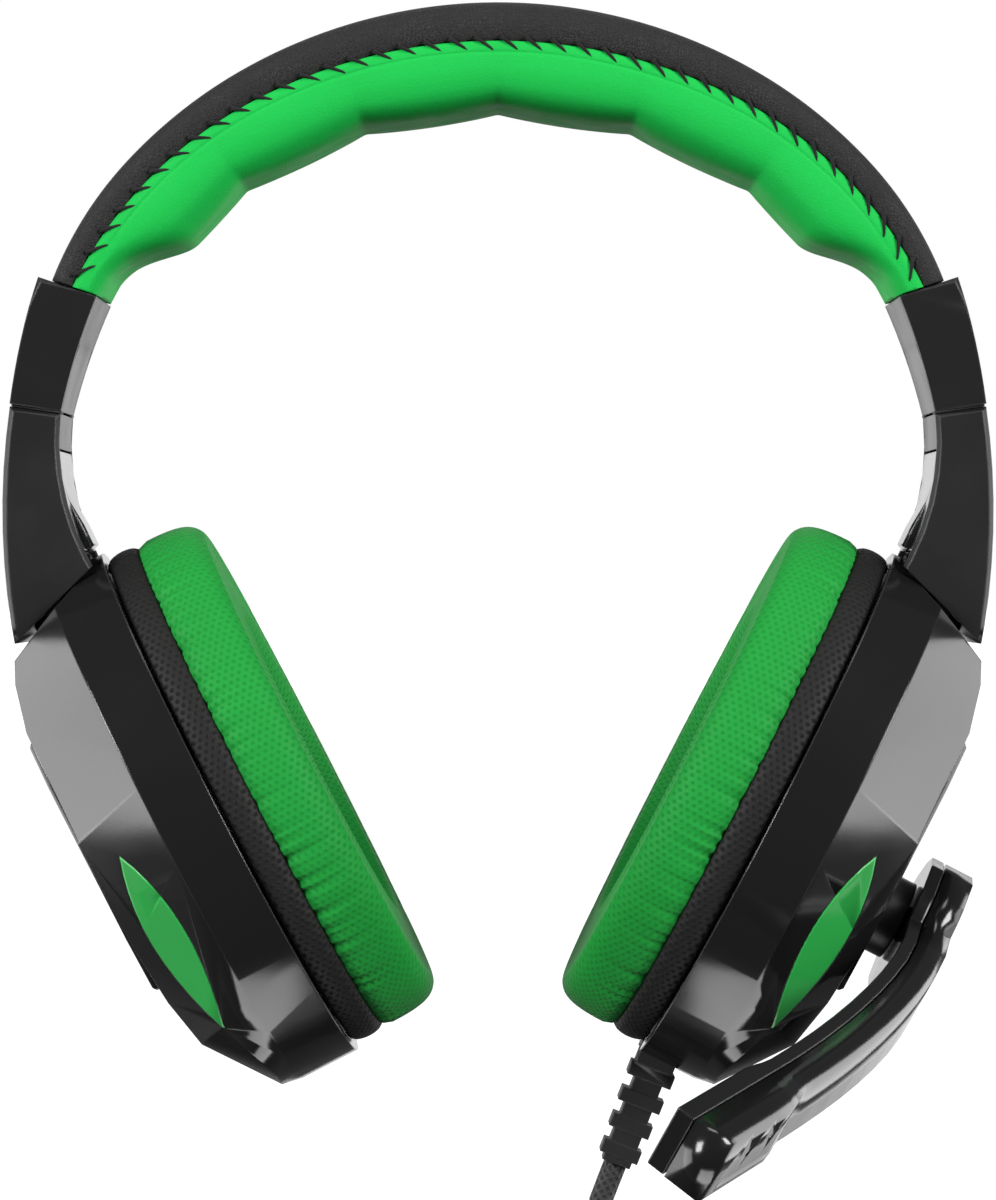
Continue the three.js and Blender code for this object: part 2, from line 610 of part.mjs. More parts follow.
function buildBoom(group) {
  const bore = micHole(MIC.axle + GAP, 30, 39.4);
  const { raised, lowered, port, slit } = CAPSULE;
  const thin = MIC.inner - MIC.seam;
  const thick = MIC.outer - MIC.seam;
  const inner = boomShell(thin, -GAP / 2, lowered, 0).subtract(bore);
  add(group, "mic_boom_inner", inner, "gloss");
  const element = boomCentre(port);
  const pocket = (radius, length) => {
    const geometry = new THREE.CylinderGeometry(radius, radius, length, 16).rotateZ(Math.PI / 2);
    return solid(geometry.translate(element.x + 2 + length / 2, element.y, element.z));
  };
  const hole = new THREE.CylinderGeometry(0.6, 0.6, 20, 8).rotateZ(Math.PI / 2);
  const mouth = solid(hole.translate(element.x + 8, element.y, element.z));
  const face = thick + raised;
  const groove = boomBar([76, 84, 90, 96, 104, 110], () => [-4.9, -4, face - 0.7, face + 2]);
  const dash = boomBar([slit - 1.5, slit + 1.5], () => [1.2, 1.7, face - 0.5, face + 2]);
  const outer = boomShell(GAP / 2, thick, 0, raised).subtract(bore);
  const drilled = outer.subtract(pocket(3.4, 3.6)).subtract(mouth);
  add(group, "mic_boom_outer", drilled.subtract(groove).subtract(dash), "gloss");
  add(group, "mic_element", pocket(3.1, 3), "metal");
}

// ---- lead ----

const reliefLength = () => RELIEF.blocks * RELIEF.pitch;

function buildRelief(group) {
  const { x, z, turn, pitch, blocks } = RELIEF;
  let relief = box(5.6, 6, reliefLength(), 0, 0, -reliefLength() / 2);
  relief = relief.add(box(7.4, 8.4, 4, 0, 0, 0.6));
  for (let i = 0; i < blocks; i++) {
    const width = 8.8 - 0.4 * i;
    const middle = -pitch * (i + 0.5);
    relief = relief.add(box(width, width - 1, pitch * 0.5, 0, 0, middle));
  }
  const placed = geometryOf(relief).rotateY(rad(turn)).translate(x, 0, z);
  add(group, "strain_relief", solid(placed), "rubber");
}

// Where the lead leaves the strain relief, and which way it points, in the part's frame.
function leadExit() {
  const lean = rad(CUP.lean);
  const turn = rad(RELIEF.turn);
  const length = reliefLength() + GAP;
  const local = at(RELIEF.x - length * Math.sin(turn), 0, RELIEF.z - length * Math.cos(turn));
  const place = local.applyAxisAngle(at(0, 1, 0), lean).add(at(CUP.x, 0, CUP.z));
  const way = at(0, 0, -1).applyAxisAngle(at(0, 1, 0), lean + turn);
  return [place, way];
}

function tube(points, steps) {
  const path = new THREE.CatmullRomCurve3(points);
  const ring = new THREE.Shape().absarc(0, 0, CORD.radius, 0, 2 * Math.PI);
  return solid(new THREE.ExtrudeGeometry(ring, { extrudePath: path, steps, curveSegments: 5 }));
}

function coilSolid(grow) {
  const { x, z, inner, outer, halfWidth } = COIL;
  const round = 2;
  const [a, b, h] = [inner - grow, outer + grow, halfWidth + grow];
  const section = [[a, -h + round], [a + round, -h], [b - round, -h], [b, -h + round]];
  section.push([b, h - round], [b - round, h], [a + round, h], [a, h - round], [a, -h + round]);
  const geometry = new THREE.LatheGeometry(section.map(([r, y]) => new THREE.Vector2(r, y)), 36);
  return solid(geometry.translate(x, 0, z));
}

// Down from the strain relief, then over in a bend that meets the coil's outer turn.
function leadRun() {
  const [place, way] = leadExit();
  const reach = LAY.outerTurn + LAY.bend;
  const meets = Math.acos(LAY.bend / reach);
  const bendTop = COIL.z + reach * Math.sin(meets);
  const bend = [0.25, 0.5, 0.75, 1].map((part) => {
    const turned = Math.PI + part * meets;
    return at(COIL.x + LAY.bend * (1 + Math.cos(turned)), 0, bendTop + LAY.bend * Math.sin(turned));
  });
  return [place, place.clone().addScaledVector(way, 3), at(COIL.x, 0, bendTop), ...bend];
}

// The end of the last turn comes out of the coil's front and hangs down to the plug.
function tailRun() {
  const steps = 5;
  const turn = Array.from({ length: steps + 1 }, (_, i) => {
    const angle = rad(THREE.MathUtils.lerp(LAY.tailFrom, LAY.tailTo, i / steps));
    const out = THREE.MathUtils.smoothstep(i, 0, steps - 1);
    const front = THREE.MathUtils.lerp(COIL.halfWidth, LAY.tailFront, out);
    const across = COIL.x + LAY.outerTurn * Math.cos(angle);
    return at(across, -front, COIL.z + LAY.outerTurn * Math.sin(angle));
  });
  return [...turn, at(PLUG.x, PLUG.y, PLUG.z + 3.5)];
}

function buildLead(group) {
  add(group, "lead_cord", tube(leadRun(), 12).subtract(coilSolid(GAP)), "fabric");
  add(group, "lead_tail", tube(tailRun(), 12).subtract(coilSolid(GAP)), "fabric");
  const middle = (COIL.inner + COIL.outer) / 2;
  const thick = COIL.outer - COIL.inner;
  const tie = box(6, 2 * COIL.halfWidth + 3, thick + 3, 0, 0, middle);
  const loop = tie.subtract(box(9, 2 * COIL.halfWidth + 0.8, thick + 1.2, 0, 0, middle));
  const turnedTie = geometryOf(loop).rotateY(-rad(COIL.tieAt)).translate(COIL.x, 0, COIL.z);
  const { x, y, z, radius, body } = PLUG;
  add(group, "coil_tie", solid(turnedTie), "rubber");
  add(group, "lead_coil", coilSolid(0), "fabric");
  const turned = (profile) => {
    const geometry = new THREE.LatheGeometry(profile.map(([r, down]) => new THREE.Vector2(r, -down)), 14);
    return solid(geometry.rotateX(Math.PI / 2).translate(x, y, z));
  };
  const grip = [[0, -2.2], [2.6, -2.2], [radius, 3], [radius, body], [0, body]];
  add(group, "plug_body", turned(grip), "rubber");
  const pinStart = body + GAP;
  const pin = [[0, pinStart], [2.9, pinStart], [2.9, pinStart + 1], [1.75, pinStart + 1]];
  pin.push([1.75, pinStart + 13], [1.2, pinStart + 13.4], [1.6, pinStart + 14], [0, pinStart + 15.2]);
  add(group, "plug_pin", turned(pin), "metal");
}

// ---- assembly ----

function buildSide(side, sign) {
  const group = new THREE.Group();
  group.scale.x = sign;
  buildHousing(group, side);
  buildStrip(group, side);
  buildArm(group, side);
  const cup = new THREE.Group();
  cup.position.set(CUP.x, 0, CUP.z);
  cup.rotation.y = rad(CUP.lean);
  const outside = cupOutside();
  buildCupShell(cup, side, outside);
  buildCupParts(cup, side, outside);
  if (side === "right") {
    buildMicPivot(cup);
    buildBoom(cup);
    buildRelief(cup);
  }
  group.add(cup);
  root.add(group);
}

buildHeadband();
buildSide("right", 1);
buildSide("left", -1);
buildLead(root);

export default root;
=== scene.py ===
"""Gaming headset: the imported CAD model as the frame, with soft parts, stitching, lead and materials.

Metres, +Z up, the wearer looks along -Y. The origin is the underside of the headband pad.
"""
import math

import bmesh
import bpy
import numpy as np
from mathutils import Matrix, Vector


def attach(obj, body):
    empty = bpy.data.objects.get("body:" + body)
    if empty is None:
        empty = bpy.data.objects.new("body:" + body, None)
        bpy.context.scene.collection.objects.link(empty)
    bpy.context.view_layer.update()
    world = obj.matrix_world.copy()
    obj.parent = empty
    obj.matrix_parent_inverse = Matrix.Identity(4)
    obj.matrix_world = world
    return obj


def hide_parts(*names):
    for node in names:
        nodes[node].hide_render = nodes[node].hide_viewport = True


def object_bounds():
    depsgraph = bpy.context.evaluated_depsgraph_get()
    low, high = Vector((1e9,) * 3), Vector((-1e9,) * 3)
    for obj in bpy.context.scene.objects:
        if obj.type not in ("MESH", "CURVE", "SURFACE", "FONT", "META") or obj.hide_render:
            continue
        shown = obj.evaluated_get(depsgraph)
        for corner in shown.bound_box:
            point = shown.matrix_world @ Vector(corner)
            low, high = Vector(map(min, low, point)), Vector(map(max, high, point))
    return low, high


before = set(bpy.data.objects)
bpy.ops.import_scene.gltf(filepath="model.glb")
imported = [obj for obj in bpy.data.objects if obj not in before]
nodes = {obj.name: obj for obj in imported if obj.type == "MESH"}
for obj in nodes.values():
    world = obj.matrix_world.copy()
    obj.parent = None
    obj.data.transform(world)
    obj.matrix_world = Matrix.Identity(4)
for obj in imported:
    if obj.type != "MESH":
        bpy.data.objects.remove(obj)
cad_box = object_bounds()
MM = 0.001
SIDES = (("right", 1), ("left", -1))

# ---- camera and light ----

AIM = Vector((0, 0, -0.09275))
LIT = Vector((0, 0, -0.1))

scene = bpy.context.scene
scene.view_settings.view_transform = "Standard"

camera_data = bpy.data.cameras.new("camera")
camera_data.lens = 157.9
camera_data.sensor_width = 36
camera_data.clip_start = 0.05
camera_data.clip_end = 50
camera = bpy.data.objects.new("camera", camera_data)
scene.collection.objects.link(camera)
camera.location = (0, -1.0, -0.088)
camera.rotation_euler = (AIM - camera.location).to_track_quat("-Z", "Y").to_euler()
scene.camera = camera


# A rectangular light that faces the middle of the object and that the camera doesn't see.
def softbox(name, place, size, power):
    data = bpy.data.lights.new(name, "AREA")
    data.shape = "RECTANGLE"
    data.size, data.size_y = size
    data.energy = power
    light = bpy.data.objects.new(name, data)
    scene.collection.objects.link(light)
    light.location = place
    light.rotation_euler = (LIT - light.location).to_track_quat("-Z", "Y").to_euler()
    light.visible_camera = False


for side, sign in SIDES:
    softbox("key_" + side, (1.5 * sign, -1.15, 0.45), (0.9, 0.9), 56)
    softbox("flank_" + side, (1.4 * sign, 0.45, -0.3), (1.4, 0.95), 18)
softbox("top", (0, -0.45, 1.3), (0.8, 0.5), 8)
softbox("under", (0, -0.25, -1.4), (0.9, 0.8), 14)
softbox("back", (0, 2.5, -0.1), (3.0, 2.0), 19)

# White behind the object; the dome below keeps that white out of the reflections.
world = bpy.data.worlds.new("studio")
world.use_nodes = True
world.node_tree.nodes["Background"].inputs["Color"].default_value = (1, 1, 1, 1)
world.node_tree.nodes["Background"].inputs["Strength"].default_value = 1.0
scene.world = world

# ---- materials ----


def new_material(name):
    made = bpy.data.materials.new(name)
    made.use_nodes = True
    tree = made.node_tree
    return made, tree, tree.nodes["Principled BSDF"]


def math_node(tree, operation, a, b=None):
    node = tree.nodes.new("ShaderNodeMath")
    node.operation = operation
    for socket, value in zip(node.inputs, (a, b)):
        if value is None:
            continue
        if isinstance(value, (int, float)):
            socket.default_value = value
        else:
            tree.links.new(value, socket)
    return node.outputs[0]


def noise_node(tree, scale, detail):
    node = tree.nodes.new("ShaderNodeTexNoise")
    node.inputs["Scale"].default_value = scale
    node.inputs["Detail"].default_value = detail
    tree.links.new(tree.nodes.new("ShaderNodeTexCoord").outputs["Object"], node.inputs["Vector"])
    return node.outputs["Fac"]


# Distance to the nearest border between irregular cells.
def cell_border_node(tree, scale):
    node = tree.nodes.new("ShaderNodeTexVoronoi")
    node.feature = "DISTANCE_TO_EDGE"
    node.inputs["Scale"].default_value = scale
    tree.links.new(tree.nodes.new("ShaderNodeTexCoord").outputs["Object"], node.inputs["Vector"])
    return node.outputs["Distance"]


# A smooth step of a value from one range to another.
def ramp(tree, value, low, high, to_low, to_high):
    node = tree.nodes.new("ShaderNodeMapRange")
    node.interpolation_type = "SMOOTHSTEP"
    tree.links.new(value, node.inputs["Value"])
    for name, number in (("From Min", low), ("From Max", high), ("To Min", to_low), ("To Max", to_high)):
        node.inputs[name].default_value = number
    return node.outputs["Result"]


def mix_colour(tree, factor, a, b):
    node = tree.nodes.new("ShaderNodeMix")
    node.data_type = "RGBA"
    tree.links.new(factor, node.inputs["Factor"])
    for name, value in (("A", a), ("B", b)):
        socket = [s for s in node.inputs if s.name == name and s.type == "RGBA"][0]
        if isinstance(value, tuple):
            socket.default_value = (*value, 1)
        else:
            tree.links.new(value, socket)
    return [s for s in node.outputs if s.type == "RGBA"][0]


def bump(tree, height, distance, strength=1.0, normal=None):
    node = tree.nodes.new("ShaderNodeBump")
    node.inputs["Distance"].default_value = distance
    node.inputs["Strength"].default_value = strength
    tree.links.new(height, node.inputs["Height"])
    if normal is not None:
        tree.links.new(normal, node.inputs["Normal"])
    return node.outputs["Normal"]


def tint(colour, factor):
    return tuple(c * factor for c in colour)


# Moulded plastic: fine texture, slow changes of gloss, and a painted highlight that lightens rounded edges by
# the edge factor.
def plastic(name, colour, roughness, specular, grain=0.00004, edge=1.8, radius=0.0005):
    made, tree, shader = new_material(name)
    rounded = tree.nodes.new("ShaderNodeBevel")
    rounded.samples = 6
    rounded.inputs["Radius"].default_value = radius
    geometry = tree.nodes.new("ShaderNodeNewGeometry")
    dot = tree.nodes.new("ShaderNodeVectorMath")
    dot.operation = "DOT_PRODUCT"
    tree.links.new(rounded.outputs["Normal"], dot.inputs[0])
    tree.links.new(geometry.outputs["Normal"], dot.inputs[1])
    # Painted highlight: the colour is lightened where the rounded normal leans off the face's own normal.
    painted_edge_highlight = ramp(tree, dot.outputs["Value"], 0.995, 0.85, 0, 1)
    soft = noise_node(tree, 38, 4)
    slow = mix_colour(tree, soft, tint(colour, 0.94), tint(colour, 1.06))
    final = mix_colour(tree, painted_edge_highlight, slow, tint(colour, edge))
    tree.links.new(final, shader.inputs["Base Color"])
    shader.inputs["Specular IOR Level"].default_value = specular
    fine = noise_node(tree, 2400, 2)
    patchy = ramp(tree, noise_node(tree, 55, 4), 0.3, 0.75, roughness * 0.88, roughness * 1.14)
    tree.links.new(patchy, shader.inputs["Roughness"])
    normal = bump(tree, fine, grain, 0.5, rounded.outputs["Normal"])
    tree.links.new(normal, shader.inputs["Normal"])
    return made


# Leatherette: small irregular cells with creases between them, with painted shade darkening the creases, over
# a slow change of colour.
def leatherette(name, colour, roughness, specular, depth, cells=1500, crease_shade=0.82, sheen=0.04):
    made, tree, shader = new_material(name)
    near = cell_border_node(tree, cells)
    lines = ramp(tree, near, 0.0, 0.22, 0, 1)
    wide = noise_node(tree, 420, 4)
    height = math_node(tree, "MULTIPLY_ADD", wide, 0.9)
    tree.links.new(lines, height.node.inputs[2])
    slow = mix_colour(tree, noise_node(tree, 45, 3), tint(colour, 0.93), tint(colour, 1.07))
    # Painted shade: the creases are darkened by the crease factor.
    crease_shaded = mix_colour(tree, lines, tint(colour, crease_shade), slow)
    tree.links.new(crease_shaded, shader.inputs["Base Color"])
    patchy = ramp(tree, noise_node(tree, 130, 3), 0.3, 0.7, roughness * 0.9, roughness * 1.12)
    tree.links.new(patchy, shader.inputs["Roughness"])
    shader.inputs["Specular IOR Level"].default_value = specular
    shader.inputs["Sheen Weight"].default_value = sheen
    shader.inputs["Sheen Roughness"].default_value = 0.5
    tree.links.new(bump(tree, height, depth, 0.6), shader.inputs["Normal"])
    return made


# A honeycomb of holes from three waves, 0 between the holes and 1 in them.
def honeycomb(tree, uv_map):
    source = tree.nodes.new("ShaderNodeUVMap")
    source.uv_map = uv_map
    split = tree.nodes.new("ShaderNodeSeparateXYZ")
    tree.links.new(source.outputs["UV"], split.inputs["Vector"])
    x = split.outputs["X"]
    y = math_node(tree, "MULTIPLY", split.outputs["Y"], math.sqrt(3) / 2)
    half = math_node(tree, "MULTIPLY", x, 0.5)
    total = None
    for phase in (x, math_node(tree, "ADD", y, half), math_node(tree, "SUBTRACT", y, half)):
        wave = math_node(tree, "COSINE", math_node(tree, "MULTIPLY", phase, 2 * math.pi))
        total = wave if total is None else math_node(tree, "ADD", total, wave)
    return ramp(tree, total, -0.8, 2.9, 0, 1)


# Sport mesh: knitted cells seen on the wall from the side and on the face from the front.
def sport_mesh(name, colour, hole_shade, depth, sheen, specular=0.3):
    made, tree, shader = new_material(name)
    facing = tree.nodes.new("ShaderNodeAttribute")
    facing.attribute_name = "facing"
    wall, face = honeycomb(tree, "wall"), honeycomb(tree, "face")
    holes = tree.nodes.new("ShaderNodeMix")
    holes.data_type = "FLOAT"
    tree.links.new(facing.outputs["Fac"], holes.inputs["Factor"])
    tree.links.new(wall, holes.inputs[2])
    tree.links.new(face, holes.inputs[3])
    cells = holes.outputs[0]
    slow = mix_colour(tree, noise_node(tree, 60, 3), tint(colour, 0.92), tint(colour, 1.08))
    # Painted shade: the holes are darkened by the hole factor.
    final = mix_colour(tree, cells, slow, tint(colour, hole_shade))
    tree.links.new(final, shader.inputs["Base Color"])
    threads = noise_node(tree, 3500, 2)
    height = math_node(tree, "MULTIPLY_ADD", cells, -1.0)
    tree.links.new(math_node(tree, "MULTIPLY", threads, 0.35), height.node.inputs[2])
    tree.links.new(bump(tree, height, depth, 0.8), shader.inputs["Normal"])
    tree.links.new(ramp(tree, cells, 0, 1, 0.62, 0.9), shader.inputs["Roughness"])
    shader.inputs["Specular IOR Level"].default_value = specular
    shader.inputs["Sheen Weight"].default_value = sheen
    shader.inputs["Sheen Roughness"].default_value = 0.45
    return made


# Strands of each family once round the lead, and along one diameter of it.
STRANDS_ROUND, STRANDS_ALONG = 8, 2.6


# Braided sleeve: two families of strands winding opposite ways.
def braid(name, colour):
    made, tree, shader = new_material(name)
    source = tree.nodes.new("ShaderNodeUVMap")
    source.uv_map = "braid"
    split = tree.nodes.new("ShaderNodeSeparateXYZ")
    tree.links.new(source.outputs["UV"], split.inputs["Vector"])
    around = math_node(tree, "MULTIPLY", split.outputs["X"], STRANDS_ROUND * 2 * math.pi)
    along = math_node(tree, "MULTIPLY", split.outputs["Y"], STRANDS_ALONG * 2 * math.pi)
    right_hand = math_node(tree, "SINE", math_node(tree, "ADD", around, along))
    left_hand = math_node(tree, "SINE", math_node(tree, "SUBTRACT", around, along))
    strands = math_node(tree, "MAXIMUM", right_hand, left_hand)
    # Painted shade between the strands and a painted highlight on their crests.
    shade = ramp(tree, strands, -0.4, 1, 0, 1)
    final = mix_colour(tree, shade, tint(colour, 0.45), tint(colour, 1.5))
    tree.links.new(final, shader.inputs["Base Color"])
    tree.links.new(bump(tree, strands, 0.0002, 0.8), shader.inputs["Normal"])
    tree.links.new(ramp(tree, noise_node(tree, 900, 2), 0.3, 0.7, 0.6, 0.8), shader.inputs["Roughness"])
    shader.inputs["Specular IOR Level"].default_value = 0.35
    shader.inputs["Sheen Weight"].default_value = 0.15
    return made


def metal(name, colour, roughness):
    made, tree, shader = new_material(name)
    streaks = noise_node(tree, 700, 3)
    final = mix_colour(tree, streaks, tint(colour, 0.85), tint(colour, 1.08))
    tree.links.new(final, shader.inputs["Base Color"])
    patchy = ramp(tree, streaks, 0.3, 0.7, roughness * 0.8, roughness * 1.3)
    tree.links.new(patchy, shader.inputs["Roughness"])
    shader.inputs["Metallic"].default_value = 1
    tree.links.new(bump(tree, noise_node(tree, 1800, 2), 0.00002, 0.4), shader.inputs["Normal"])
    return made


# The edge values set how much lighter each plastic's painted edge highlight is.
SATIN = plastic("satin_black", (0.0085, 0.0085, 0.0085), 0.36, 0.3)
GLOSS = plastic("gloss_black", (0.006, 0.006, 0.0062), 0.16, 0.42, grain=0.00001, edge=6)
INLAY = plastic("gloss_green", (0.018, 0.25, 0.045), 0.2, 0.4, grain=0.00001, edge=2.2, radius=0.0007)
RUBBER = plastic("satin_rubber", (0.0105, 0.0102, 0.01), 0.55, 0.3, grain=0.00008, edge=3.0)
COVER = leatherette("black_leatherette", (0.0105, 0.0098, 0.0098), 0.6, 0.2, 0.00012)
PAD = leatherette("green_leatherette", (0.0075, 0.33, 0.048), 0.6, 0.08, 0.00004, crease_shade=0.97, sheen=0)
MESH_GREEN = sport_mesh("green_mesh", (0.005, 0.195, 0.024), 0.82, 0.00012, 0.03, specular=0.15)
MESH_BLACK = sport_mesh("black_mesh", (0.0062, 0.0057, 0.0057), 0.75, 0.00015, 0.0, specular=0.2)
BRAID = braid("black_braid", (0.016, 0.0155, 0.0155))
STEEL = metal("drawn_steel", (0.5, 0.5, 0.5), 0.3)
NICKEL = metal("plated_contact", (0.72, 0.68, 0.6), 0.2)
THREAD = leatherette("black_thread", (0.006, 0.006, 0.006), 0.7, 0.2, 0.00005, cells=4000)


# ---- stage ----

DOME_RADIUS = 6
DOME_LIGHT = 0.12
FLOOR_LIGHT = 0.97
FLOOR_DROP = 0.006
FLOOR_REACH = 30


# A dark room round the object, seen only in its reflections.
def build_dome():
    made, tree, shader = new_material("stage_dome")
    shader.inputs["Base Color"].default_value = (0.02, 0.02, 0.02, 1)
    shader.inputs["Roughness"].default_value = 1
    shader.inputs["Specular IOR Level"].default_value = 0
    shader.inputs["Emission Color"].default_value = (1, 1, 1, 1)
    shader.inputs["Emission Strength"].default_value = DOME_LIGHT
    mesh = bmesh.new()
    bmesh.ops.create_icosphere(mesh, subdivisions=4, radius=DOME_RADIUS)
    data = bpy.data.meshes.new("dome")
    mesh.to_mesh(data)
    mesh.free()
    data.materials.append(made)
    dome = bpy.data.objects.new("dome", data)
    scene.collection.objects.link(dome)
    dome.visible_camera = False


# A pale floor just under the coil, bright enough to meet the white behind it without an edge.
def build_floor():
    made, tree, shader = new_material("stage_floor")
    soft = mix_colour(tree, noise_node(tree, 3, 2), (0.28, 0.28, 0.28), (0.32, 0.32, 0.32))
    tree.links.new(soft, shader.inputs["Base Color"])
    shader.inputs["Roughness"].default_value = 1
    shader.inputs["Specular IOR Level"].default_value = 0
    shader.inputs["Emission Color"].default_value = (1, 1, 1, 1)
    shader.inputs["Emission Strength"].default_value = FLOOR_LIGHT
    data = bpy.data.meshes.new("floor")
    z = cad_box[0].z - FLOOR_DROP
    ways = ((-1, -1), (1, -1), (1, 1), (-1, 1))
    data.from_pydata([(x * FLOOR_REACH, y * FLOOR_REACH, z) for x, y in ways], [], [(0, 1, 2, 3)])
    data.materials.append(made)
    floor = bpy.data.objects.new("floor", data)
    scene.collection.objects.link(floor)
    floor.visible_glossy = floor.visible_diffuse = False


build_dome()
build_floor()

# ---- making pieces ----


# A mesh that rides on a body, with its material.
def piece(name, points, faces, made, body, smooth=True):
    data = bpy.data.meshes.new(name)
    data.from_pydata([tuple(p) for p in points], [], faces)
    data.materials.append(made)
    data.polygons.foreach_set("use_smooth", [smooth] * len(data.polygons))
    data.update()
    thing = bpy.data.objects.new(name, data)
    scene.collection.objects.link(thing)
    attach(thing, body)
    return thing


# Faces between rows of equally many points; a closed row joins its last point to its first.
def grid_faces(rows, columns, closed_row, closed_stack, start=0):
    faces = []
    for i in range(rows if closed_stack else rows - 1):
        for j in range(columns if closed_row else columns - 1):
            a, b = i * columns + j, i * columns + (j + 1) % columns
            up = ((i + 1) % rows) * columns
            faces.append((start + a, start + b, start + up + (j + 1) % columns, start + up + j))
    return faces


# Rings of points round a line; the radius is one number, or one for each point of the line.
def tube_points(line, radius, sides):
    line = [Vector(p) for p in line]
    rings, normal = [], None
    for i, here in enumerate(line):
        ahead = line[min(i + 1, len(line) - 1)] - line[max(i - 1, 0)]
        ahead.normalize()
        if normal is None:
            normal = ahead.orthogonal().normalized()
        normal = (normal - ahead * normal.dot(ahead)).normalized()
        side = ahead.cross(normal)
        wide = radius[i] if hasattr(radius, "__len__") else radius
        for j in range(sides):
            angle = 2 * math.pi * j / sides
            rings.append(here + (normal * math.cos(angle) + side * math.sin(angle)) * wide)
    return rings


def tube_faces(count, sides, start=0):
    last = start + (count - 1) * sides
    near_cap = tuple(range(start + sides - 1, start - 1, -1))
    far_cap = tuple(range(last, last + sides))
    return [*grid_faces(count, sides, True, False, start), near_cap, far_cap]


# ---- lead: down from the strain relief, a tied coil of twelve turns, and a tail to the plug ----

EXIT = Vector((22.216, 0, -199.954)) * MM
EXIT_WAY = Vector((-0.3665, 0, -0.9304))
CORD_RADIUS = 2.25 * MM
COIL = Vector((19.5, 0, -249)) * MM
LAYERS = {"outer": 31.5 * MM, "middle": 27 * MM, "inner": 22.5 * MM}
COLUMNS = [-6.75 * MM, -2.25 * MM, 2.25 * MM, 6.75 * MM]
BEND = 12 * MM
TAIL_FROM, TAIL_TO = 66, 12
TAIL_BACK, TAIL_FRONT = 9 * MM, 14.4 * MM
PLUG_TOP = Vector((51, -14.4, -241.6)) * MM
TURNS = [
    ("outer", 1), ("outer", 2), ("outer", 3), ("middle", 3), ("inner", 3), ("inner", 2),
    ("middle", 2), ("middle", 1), ("inner", 1), ("inner", 0), ("middle", 0), ("outer", 0),
]
STEPS = 36
LEAD_SIDES = 14


def smoothstep(x, low=0.0, high=1.0):
    x = min(max((x - low) / (high - low), 0), 1)
    return x * x * (3 - 2 * x)


# Out of the strain relief, round a bend, twelve turns that step from layer to layer, and the tail.
def lead_path():
    reach = LAYERS["outer"] + BEND
    meets = math.acos(BEND / reach)
    bend_top = COIL.z + reach * math.sin(meets)
    first = COLUMNS[TURNS[0][1]]
    line = [EXIT + EXIT_WAY * CORD_RADIUS * k for k in (0, 0.7, 1.4)]
    line.append(Vector((COIL.x, first * 0.5, bend_top + 0.4 * MM)))
    for k in range(1, 9):
        turned = math.pi + meets * k / 8
        drift = first * smoothstep(0.5 + k / 16)
        x = COIL.x + BEND * (1 + math.cos(turned))
        line.append(Vector((x, drift, bend_top + BEND * math.sin(turned))))
    for number, (layer, column) in enumerate(TURNS):
        following = TURNS[min(number + 1, len(TURNS) - 1)]
        for k in range(1, STEPS + 1):
            part = k / STEPS
            shift = smoothstep(part, 0.8, 1.0)
            radius = LAYERS[layer] + (LAYERS[following[0]] - LAYERS[layer]) * shift
            y = COLUMNS[column] + (COLUMNS[following[1]] - COLUMNS[column]) * shift
            angle = meets - 2 * math.pi * part
            line.append(COIL + Vector((radius * math.cos(angle), y, radius * math.sin(angle))))
    for k in range(1, 8):
        angle = math.radians(TAIL_FROM + (TAIL_TO - TAIL_FROM) * k / 7)
        y = -TAIL_BACK + (TAIL_BACK - TAIL_FRONT) * smoothstep(k / 7)
        around = Vector((math.cos(angle), 0, math.sin(angle))) * LAYERS["outer"]
        line.append(COIL + around + Vector((0, y, 0)))
    line.append(PLUG_TOP)
    return line


def build_lead():
    line = lead_path()
    points, faces = tube_points(line, CORD_RADIUS, LEAD_SIDES), tube_faces(len(line), LEAD_SIDES)
    made = piece("lead", points, faces, BRAID, "cup_right")
    lengths = np.cumsum([0] + [(line[i + 1] - line[i]).length for i in range(len(line) - 1)])
    layer = made.data.uv_layers.new(name="braid")
    for face in made.data.polygons:
        corners = [(v // LEAD_SIDES, v % LEAD_SIDES) for v in face.vertices]
        places = [side for ring, side in corners]
        wraps = len(corners) == 4 and max(places) - min(places) > LEAD_SIDES / 2
        for loop, (ring, side) in zip(face.loop_indices, corners):
            around = side + (LEAD_SIDES if wraps and side == 0 else 0)
            layer.data[loop].uv = (around / LEAD_SIDES, lengths[ring] / (2 * CORD_RADIUS))
    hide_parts("lead_cord", "lead_coil", "lead_tail")


build_lead()

# ---- headband, in millimetres ----

# Arches of the band's outside and of its seam: height of the top, and arcs of (radius, end in degrees).
BAND = {"apex": 19.5, "arcs": [(97, 29.7), (90.7, 47.3), (69.8, 90)]}
SEAM = {"apex": 11.5, "arcs": [(98.1, 27.5), (78, 90)]}
SEAM_REACH = 116
HALF_WIDTH = 19.3
SLIDE_CENTRE = Vector((-44.5, 0, -76))
HOUSING_TOP = math.radians(18.5)

# Rows along the band, and the stitches' spacing.
STATIONS = [SEAM_REACH * (2 * i / 400 - 1) for i in range(401)]
STITCH_PITCH = 4.75
THREAD_RADIUS = 0.36
STITCH_LEAN = 1.9

# The cover rolls in at the seam and is drawn into scallops by the stitches.
COVER_ROLL, COVER_ROLL_REACH = 0.55, 0.45
SCALLOP, SCALLOP_REACH = 0.28, 0.9
COVER_SWELL = 0.2
COVER_POWER = 0.36

# The pad puffs between tacks, with a groove beside its seam.
TACK_PITCH = 29
PAD_DEPTH, PAD_PUFF, PAD_END_DEPTH = 11.2, 1.7, 5.2
PAD_FULL_DEPTH = 9.8
PAD_POWER = 0.42
GROOVE, GROOVE_DENT, GROOVE_REACH = 2.1, 0.16, 0.22
PAD_ROLL, PAD_ROLL_REACH = 0.5, 0.35
PAD_BULGE, PAD_SWELL = 0.55, 0.15


